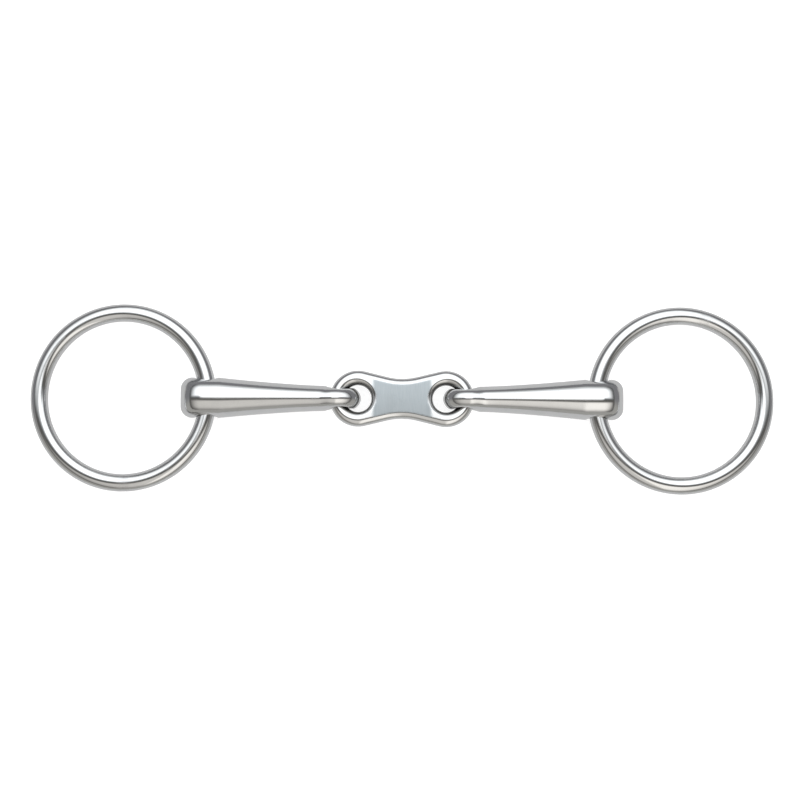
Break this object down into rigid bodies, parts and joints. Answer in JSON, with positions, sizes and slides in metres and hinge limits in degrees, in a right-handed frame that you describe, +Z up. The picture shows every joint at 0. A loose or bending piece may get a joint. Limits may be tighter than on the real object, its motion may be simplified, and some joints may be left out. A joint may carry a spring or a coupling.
{
  "type": "loose-ring french-link snaffle bit",
  "caption": "Double-jointed horse bit: round wire rings run loose through tapered cannons, which are linked by a flat waisted centre plate.",
  "frame": {"origin": "on the surface the bit lies on, under the middle of the centre link", "axes": "+X along the mouthpiece towards the right cannon and ring, +Y across the mouthpiece in the plane of the link, +Z up, square to the link's flat face"},
  "size_m": [0.2778, 0.07, 0.016],
  "materials": {
    "ring_wire": "polished stainless steel wire",
    "cannon_steel": "polished stainless steel",
    "link_steel": "polished stainless steel with a finely satined flat"
  },
  "bodies": {
    "centre_link": {"french_link": "link_steel"},
    "left_cannon_body": {"left_cannon": "cannon_steel"},
    "right_cannon_body": {"right_cannon": "cannon_steel"},
    "left_ring_body": {"left_ring": "ring_wire"},
    "right_ring_body": {"right_ring": "ring_wire"}
  },
  "joints": [
    {"name": "left_cannon_fold", "type": "hinge", "parent": "centre_link", "child": "left_cannon_body", "pos_m": [-0.02329, 0, 0.008], "axis": [0, 1, 0], "range_deg": [-95, 95]},
    {"name": "right_cannon_fold", "type": "hinge", "parent": "centre_link", "child": "right_cannon_body", "pos_m": [0.02329, 0, 0.008], "axis": [0, -1, 0], "range_deg": [-95, 95]},
    {"name": "left_ring_swing", "type": "hinge", "parent": "left_cannon_body", "child": "left_ring_body", "pos_m": [-0.0728, 0, 0.008], "axis": [0, 1, 0], "range_deg": [-165, 165]},
    {"name": "right_ring_swing", "type": "hinge", "parent": "right_cannon_body", "child": "right_ring_body", "pos_m": [0.0728, 0, 0.008], "axis": [0, -1, 0], "range_deg": [-165, 165]}
  ]
}
